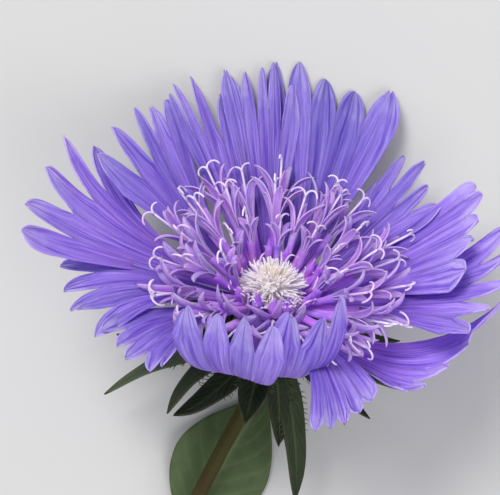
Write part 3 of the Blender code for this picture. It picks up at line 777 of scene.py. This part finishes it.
class Look:
    """A material, with short ways to add the nodes that drive its colour and bump."""

    def __init__(self, name, roughness, specular=0.4, sheen=0.0, subsurface=0.0, glow=(0.7, 0.5, 1.0)):
        self.material = bpy.data.materials.new(name)
        self.material.use_nodes = True
        self.tree = self.material.node_tree
        self.shader = self.tree.nodes["Principled BSDF"]
        self.feed(self.shader, {"Roughness": roughness, "Specular IOR Level": specular})
        self.feed(self.shader, {"Sheen Weight": sheen, "Subsurface Weight": subsurface})
        self.feed(self.shader, {"Subsurface Scale": 1.5 * MM, "Subsurface Radius": glow})

    def node(self, kind, **values):
        made = self.tree.nodes.new(kind)
        for key, value in values.items():
            setattr(made, key, value)
        return made

    def feed(self, node, values):
        """Sets inputs of a node, or wires them where the value comes from another node."""
        for key, value in values.items():
            if isinstance(value, (int, float, tuple)):
                node.inputs[key].default_value = value
            else:
                self.tree.links.new(value, node.inputs[key])

    def fields(self):
        """How far along and across the petal or blade a point is, and its tone, which on the ray florets
        and leafy bracts holds painted light and painted shade.
        """
        names = ("along", "across", "tone")
        return (self.node("ShaderNodeAttribute", attribute_name=name).outputs["Fac"] for name in names)

    def math(self, operation, a, b=0.0, clamp=False):
        made = self.node("ShaderNodeMath", operation=operation, use_clamp=clamp)
        self.feed(made, {0: a, 1: b})
        return made.outputs[0]

    def plus(self, a, b):
        return self.math("ADD", a, b)

    def minus(self, a, b, clamp=False):
        return self.math("SUBTRACT", a, b, clamp)

    def times(self, a, b, clamp=False):
        return self.math("MULTIPLY", a, b, clamp)

    def power(self, a, b):
        return self.math("POWER", a, b)

    def noise(self, vector, scale, detail):
        made = self.node("ShaderNodeTexNoise")
        self.feed(made, {"Vector": vector, "Scale": scale, "Detail": detail, "Roughness": 0.55})
        return made.outputs["Fac"]

    def drawn_out(self, across, along, apart, fineness, scale, detail):
        """Noise along a petal, as fine across and along it as given, with another part for each petal."""
        made = self.node("ShaderNodeCombineXYZ")
        self.feed(made, {0: self.times(across, fineness[0]), 1: self.times(along, fineness[1]), 2: apart})
        return self.noise(made.outputs[0], scale, detail)

    def place(self):
        return self.node("ShaderNodeTexCoord").outputs["Object"]

    def ramp(self, factor, stops):
        made = self.node("ShaderNodeValToRGB")
        ramp = made.color_ramp
        ramp.interpolation = "EASE"
        while len(ramp.elements) < len(stops):
            ramp.elements.new(0.5)
        for element, (position, colour) in zip(ramp.elements, stops):
            element.position = position
            element.color = colour
        self.feed(made, {"Fac": factor})
        return made.outputs["Color"]

    def mix(self, factor, a, b):
        made = self.node("ShaderNodeMix", data_type="RGBA")
        self.feed(made, {0: factor, 6: a, 7: b})
        return made.outputs[2]

    def colour(self, value):
        self.feed(self.shader, {"Base Color": value})

    def rough(self, value):
        self.feed(self.shader, {"Roughness": value})

    def bump(self, height, distance, strength):
        made = self.node("ShaderNodeBump")
        self.feed(made, {"Strength": strength, "Distance": distance, "Height": height})
        self.feed(self.shader, {"Normal": made.outputs["Normal"]})


def petal_look(name, stops, streak_and_highlight_colours, hues=0.007):
    """Soft violet with long streaks, fine veins, a dark middle line and rims with a painted highlight."""
    pale, dark = streak_and_highlight_colours
    look = Look(name, 0.5, specular=0.22, sheen=0.05, subsurface=0.35)
    along, across, tone = look.fields()
    apart = look.times(tone, 41.0)
    bands = look.drawn_out(across, along, apart, (2.6, 1.6), 1.5, 2.0)
    streaks = look.drawn_out(across, along, apart, (7.5, 2.4), 1.6, 4.0)
    lines = look.drawn_out(across, along, apart, (22.0, 3.0), 1.5, 3.0)
    blotch = look.noise(look.place(), 240.0, 3.0)
    base = look.ramp(look.plus(along, look.times(look.minus(blotch, 0.5), 0.3)), stops)
    in_bands = look.times(look.minus(bands, 0.45, clamp=True), 4.2, clamp=True)
    base = look.mix(in_bands, base, dark)
    in_streaks = look.times(look.minus(streaks, 0.5, clamp=True), 4.2, clamp=True)
    base = look.mix(in_streaks, base, pale)
    before_tip = look.minus(1.0, look.power(along, 12.0))
    in_lines = look.times(look.minus(0.5, lines, clamp=True), 2.2, clamp=True)
    base = look.mix(look.times(in_lines, before_tip), base, dark)
    # Rims: a painted highlight along each lobe's edges, in the pale streak colour
    width = look.math("ABSOLUTE", across)
    base = look.mix(look.times(look.power(width, 6.0), 0.6), base, pale)
    middle = look.power(look.minus(1.0, width, clamp=True), 8.0)
    base = look.mix(look.times(look.times(middle, bands), look.times(before_tip, 0.7)), base, dark)
    shade = look.node("ShaderNodeHueSaturation")
    hue = look.times(look.math("MINIMUM", tone, 1.0), hues)
    # The value follows the tone, which on the ray florets carries their painted light and painted shade
    value = look.plus(look.times(tone, 0.15), 0.96)
    look.feed(shade, {"Hue": look.plus(hue, 0.5 - hues / 2), "Value": value, "Color": base})
    look.colour(shade.outputs["Color"])
    look.rough(look.plus(look.times(lines, 0.3), 0.36))
    height = look.plus(lines, look.times(streaks, 0.8))
    look.bump(look.plus(height, look.times(blotch, 0.3)), 0.22 * MM, 0.8)
    return look.material


def style_look():
    """Almost white with a little lilac, for styles and threads."""
    look = Look("style", 0.4, specular=0.4, subsurface=0.2)
    _, _, tone = look.fields()
    grain = look.noise(look.place(), 1400.0, 2.0)
    base = look.mix(tone, srgb(236, 204, 246), srgb(252, 240, 252))
    base = look.mix(look.times(grain, 0.3), base, srgb(212, 170, 232))
    look.colour(base)
    look.bump(grain, 0.06 * MM, 0.6)
    return look.material


def disc_look():
    """White points, some of them pinkish, and cream ones in the middle."""
    look = Look("disc_bud", 0.45, specular=0.3, sheen=0.5, subsurface=0.4, glow=(1.0, 0.9, 0.9))
    along, across, tone = look.fields()
    grain = look.noise(look.place(), 900.0, 3.0)
    base = look.ramp(along, NEEDLE_STOPS)
    base = look.mix(look.times(tone, 0.55), base, srgb(255, 224, 242))
    base = look.mix(look.times(across, 0.7), base, srgb(255, 242, 206))
    base = look.mix(look.times(grain, 0.12), base, srgb(236, 206, 176))
    look.colour(base)
    look.bump(grain, 0.08 * MM, 0.6)
    return look.material


def green_look(name, greens, patchy, toned, veins_along):
    """Matt green with slanting veins, a paler rib and dull margins, lighter in patches and by tone, which
    on the leafy bracts is painted light and shade.
    """
    dark, light, rib = greens
    look = Look(name, 0.45, specular=0.1, subsurface=0.05)
    along, across, tone = look.fields()
    width = look.math("ABSOLUTE", across)
    slant = look.minus(look.times(along, veins_along), look.times(width, 2.4))
    wobble = look.noise(look.place(), 300.0, 3.0)
    turns = look.times(look.plus(slant, look.times(wobble, 0.5)), math.pi)
    veins = look.power(look.math("ABSOLUTE", look.math("SINE", turns)), 0.5)
    cells = look.noise(look.place(), 1500.0, 4.0)
    # Lighter by tone: on the leafy bracts the tone is their painted light and painted shade
    base = look.mix(look.plus(look.times(wobble, patchy), look.times(tone, toned)), dark, light)
    base = look.mix(look.times(look.minus(1.0, veins, clamp=True), 0.2), base, rib)
    middle = look.power(look.minus(1.0, width, clamp=True), 14.0)
    base = look.mix(look.times(middle, 0.7), base, rib)
    base = look.mix(look.times(look.power(width, 8.0), 0.2), base, srgb(96, 92, 72))
    look.colour(base)
    look.rough(look.plus(look.times(cells, 0.25), 0.35))
    height = look.plus(look.times(veins, 0.6), look.times(cells, 0.4))
    look.bump(look.minus(height, look.times(middle, 0.4)), 0.18 * MM, 0.7)
    return look.material


def stem_look():
    """Olive with brown patches and a fine down, redder near the head."""
    look = Look("stem", 0.5, specular=0.1, sheen=0.02)
    place = look.place()
    patches = look.noise(place, 130.0, 3.0)
    down = look.noise(place, 3800.0, 2.0)
    along, _, _ = look.fields()
    base = look.ramp(patches, STEM_STOPS)
    base = look.mix(look.times(look.minus(1.0, along), 0.2), base, srgb(92, 54, 40))
    base = look.mix(look.times(down, 0.14), base, srgb(120, 112, 82))
    look.colour(base)
    look.bump(look.plus(look.times(patches, 0.4), down), 0.09 * MM, 0.8)
    return look.material


def floor_look():
    look = Look("floor", 0.75, specular=0.2)
    place = look.place()
    look.colour(look.mix(look.noise(place, 6.0, 3.0), srgb(199, 198, 195), srgb(205, 204, 202)))
    look.bump(look.noise(place, 900.0, 2.0), 0.03 * MM, 0.2)
    return look.material


# Pieces

def build_rays(petal, draw):
    rays = Surface()
    for ray, shade in zip(RAYS, RAY_PAINTED_LIGHT):
        add_fan(rays, ray, shade, draw)
    rays.piece("ray_petals", "ray_florets", "petal", petal, PETAL_THICK)


def build_inner_florets(draw):
    florets, styles = Surface(), Surface()
    for place in floret_places(draw):
        add_floret(florets, styles, *place, draw)
    for azimuth, rise, length, bend in BENT:
        first = draw.uniform(0, 360 / STRAPS)
        add_floret(florets, styles, RINGS[0], azimuth, rise, length, first, draw, bend)
    look = petal_look("inner", INNER_STOPS, INNER_STREAKS, hues=0.035)
    florets.piece("inner_petals", "inner_florets", "inner", look, STRAP_THICK)
    add_threads(styles, draw)
    styles.piece("styles", "inner_florets", "disc", style_look())


def build_closed_florets(draw):
    clubs = Surface()
    for k in range(CLUB_COUNT):
        add_club(clubs, 360 * (k + 0.5) / CLUB_COUNT + draw.uniform(-5, 5), draw)
    clubs.piece("closed_florets", "inner_florets", "inner", petal_look("club", CLUB_STOPS, CLUB_STREAKS))


def build_receptacle(petal):
    hubs = Surface()
    for low, high, radius in HUBS:
        profile = ((HUB_BORE, low), (radius, low), (radius, high), (HUB_BORE, high))
        add_turned(hubs, profile, 48, 13, (0, 0, 0), 0.1, 0, 0.3)
    hubs.piece("receptacle", "ray_florets", "petal", petal)


def build_disc(draw):
    disc = Surface()
    dome = [(DISC_RADIUS * math.cos(a), DISC_RISE * math.sin(a)) for a in np.linspace(0, math.pi / 2, 6)]
    profile = [(ON_AXIS, -DISC_SUNK), (DISC_RADIUS, -DISC_SUNK)] + dome
    add_turned(disc, profile, 40, 22, DISC_CENTRE, 0.8, 0, 0.5)
    add_needles(disc, draw)
    disc.piece("disc_tuft", "disc_buds", "disc", disc_look())


def build_cup(green):
    cup = Surface()
    profile = [(ON_AXIS, -CUP_DEPTH), (STEM_RADIUS * 1.2, -CUP_DEPTH)]
    profile += [(CUP_RADIUS * across, -CUP_DEPTH * down) for across, down in CUP_SHAPE]
    profile.append((ON_AXIS, 0))
    add_turned(cup, profile, 40, 25, (0, 0, 0), 0.3, 0.3, 0.2)
    cup.piece("cup", "involucre", "bract", green)


def add_leafy_bracts(blades, bristles, draw):
    level = BRACT_THICK / 2
    # Each leafy bract's tone is its painted light or painted shade
    for bract, tone in zip(BRACTS, BRACT_PAINTED_LIGHT):
        line, frame = bract_line(bract)
        points = add_blade(blades, line, frame, bract_halves(bract), 9, level, tone, BRACT_KEEL, draw)
        add_bristles(bristles, line, frame, points, BRACT_BRISTLES, draw)


def add_scales(blades, bristles, draw):
    """The short bracts that lie pressed to the cup."""
    level = BRACT_THICK / 2
    for count, height, radius in SCALE_RINGS:
        for k in range(count):
            azimuth = 360 * (k + 0.5) / count + draw.uniform(-4, 4)
            out, along, side, over = directions(azimuth, SCALE_RISE + draw.uniform(-6, 6))
            root = at(out, (radius - 1.2, height - 1.5 + draw.uniform(-0.5, 0.5)))
            s = np.linspace(0, 1, 12)
            line = root + along * (SCALE_LENGTH * s)[:, None] - over * (0.25 * SCALE_LENGTH * s**3)[:, None]
            halves = SCALE_HALF * (1 - s**2.2) * (0.9 + 0.3 * s)
            points = add_blade(blades, line, (side, over), halves, 7, level, 0.1, SCALE_KEEL, draw)
            add_bristles(bristles, line, (side, over), points, SCALE_BRISTLES, draw)


def build_bracts(green, draw):
    blades, bristles = Surface(), Surface()
    add_leafy_bracts(blades, bristles, draw)
    add_scales(blades, bristles, draw)
    blades.piece("bracts", "involucre", "bract", green, BRACT_THICK)
    bristles.piece("bristles", "involucre", "bract", green)


def build_stem():
    """The stem, wider under the cup, a little uneven, with eight low ribs."""
    stem = Surface()
    s = np.linspace(0, 1, STEM_ROWS)
    radii = STEM_RADIUS * (1 + 0.12 * np.exp(-15 * s) + 0.012 * np.sin(31 * s) + 0.01 * np.sin(67 * s + 1))
    add_tube(stem, cubic(stem_line(), s), radii, 32, world=True, ribs=8, rib_depth=0.035)
    stem.piece("stem_skin", "stem", "stem", stem_look())


def build_leaf(draw):
    """The leaf that sits under the stem and comes down onto the surface."""
    leaf = Surface()
    base = cubic(stem_line(), [LEAF_NODE])[0] - (0, 0, STEM_RADIUS + GAP + LEAF_THICK / 2)
    tip = HEAD_CENTRE * (1, 1, 0) + LEAF_TIP + (0, 0, LEAF_THICK / 2)
    s = np.linspace(0, 1, LEAF_ROWS)
    line = base + (tip - base) * s[:, None]
    line[:, 2] = tip[2] + (base[2] - tip[2]) * (1 - s) ** 3 + LEAF_CLEAR
    frame = (unit(np.cross(tip - base, (0, 0, 1))), np.array([0, 0, 1.0]))
    halves = LEAF_HALF * (0.22 + 0.9 * np.sin(math.pi * s**0.8)) * (1 - s**4)
    add_blade(leaf, line, frame, halves, 25, LEAF_THICK / 2, 0.5, 0.0, draw, world=True)
    look = green_look("leaf", LEAF_GREENS, 0.9, 0.2, 7.2)
    leaf.piece("leaf_blade", "stem_leaf", "leaf", look, LEAF_THICK)


def build_flower():
    draw = random.Random(4)
    petal = petal_look("petal", PETAL_STOPS, PETAL_STREAKS)
    build_rays(petal, draw)
    build_inner_florets(draw)
    build_closed_florets(draw)
    build_receptacle(petal)
    build_disc(draw)


def build_greens():
    draw = random.Random(9)
    green = green_look("bract", BRACT_GREENS, 0.22, 0.9, 9.0)
    build_cup(green)
    build_bracts(green, draw)
    build_stem()
    build_leaf(draw)


# Stage

def build_floor():
    mesh = bpy.data.meshes.new("floor")
    corner = ((-1, -1), (1, -1), (1, 1), (-1, 1))
    mesh.from_pydata([(FLOOR_REACH * x, FLOOR_REACH * y, 0) for x, y in corner], [], [(0, 1, 2, 3)])
    mesh.materials.append(floor_look())
    floor = bpy.data.objects.new("floor", mesh)
    bpy.context.scene.collection.objects.link(floor)


def add_light(name, place, size, power):
    data = bpy.data.lights.new(name, "AREA")
    data.shape = "SQUARE"
    data.size = size
    data.energy = power
    lamp = bpy.data.objects.new(name, data)
    lamp.location = place
    away = np.array(place) - np.array(LIT_PLACE)
    turn = math.atan2(away[0], -away[1])
    lamp.rotation_euler = (math.atan2(math.hypot(away[0], away[1]), away[2]), 0, turn)
    bpy.context.scene.collection.objects.link(lamp)


def build_light():
    add_light("key", *KEY_LIGHT)
    add_light("fill", *FILL_LIGHT)
    bpy.context.scene.view_settings.view_transform = "Standard"
    world = bpy.context.scene.world or bpy.data.worlds.new("world")
    bpy.context.scene.world = world
    world.use_nodes = True
    background = world.node_tree.nodes["Background"]
    background.inputs["Color"].default_value = SKY_COLOUR
    background.inputs["Strength"].default_value = SKY_STRENGTH


def build_camera():
    data = bpy.data.cameras.new("camera")
    data.sensor_width = SENSOR_WIDTH
    data.lens = SENSOR_WIDTH * (CAMERA_HEIGHT - HEAD_CENTRE[2]) * PIXELS_PER_METRE / PICTURE_WIDTH
    camera = bpy.data.objects.new("camera", data)
    right, above = (pixels / PIXELS_PER_METRE for pixels in HEAD_IN_PICTURE)
    camera.location = (HEAD_CENTRE[0] - right, HEAD_CENTRE[1] - above, CAMERA_HEIGHT)
    bpy.context.scene.collection.objects.link(camera)
    bpy.context.scene.camera = camera


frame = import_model()
build_floor()
build_light()
build_camera()
build_flower()
build_greens()
